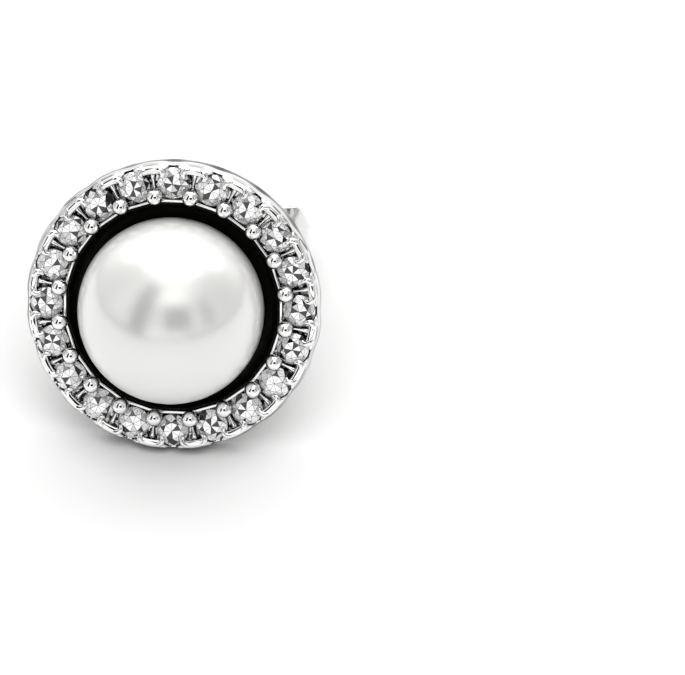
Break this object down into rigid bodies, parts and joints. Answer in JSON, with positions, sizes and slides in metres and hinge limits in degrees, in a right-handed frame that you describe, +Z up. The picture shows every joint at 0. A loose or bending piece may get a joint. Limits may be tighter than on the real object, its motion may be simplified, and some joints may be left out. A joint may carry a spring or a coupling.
{
  "type": "pearl halo stud earring",
  "caption": "Stud earring: a round white pearl in a black well, ringed by a halo of small clear stones held by bead prongs and claws, with an ear post and a sliding butterfly clutch.",
  "frame": {"origin": "on the floor under the middle of the earring's box, as it lies at rest on its rim and its clutch", "axes": "+Z up, -Y the way the pearl faces, with the face looking up by 23.6 degrees; the post runs back towards +Y and down; +X to the viewer's right"},
  "size_m": [0.0128, 0.0166, 0.0119],
  "materials": {
    "rhodium_metal": "bright polished rhodium plate on silver",
    "pearl_nacre": "white nacre, glossy with a soft ivory and grey lustre",
    "black_enamel": "glossy black",
    "clear_crystal": "clear colourless brilliant cut"
  },
  "bodies": {
    "stud": {"halo_setting": "rhodium_metal", "pearl": "pearl_nacre", "black_well_ring": "black_enamel", "stone_01": "clear_crystal", "stone_02": "clear_crystal", "stone_03": "clear_crystal", "stone_04": "clear_crystal", "stone_05": "clear_crystal", "stone_06": "clear_crystal", "stone_07": "clear_crystal", "stone_08": "clear_crystal", "stone_09": "clear_crystal", "stone_10": "clear_crystal", "stone_11": "clear_crystal", "stone_12": "clear_crystal", "stone_13": "clear_crystal", "stone_14": "clear_crystal", "stone_15": "clear_crystal", "stone_16": "clear_crystal", "stone_17": "clear_crystal", "stone_18": "clear_crystal", "stone_19": "clear_crystal", "stone_20": "clear_crystal"},
    "clutch": {"butterfly_clutch": "rhodium_metal"}
  },
  "joints": [
    {"name": "clutch_slide", "type": "slide", "parent": "stud", "child": "clutch", "axis": [0, -0.9164, 0.4003], "range_m": [-0.0015, 0.0065]}
  ]
}
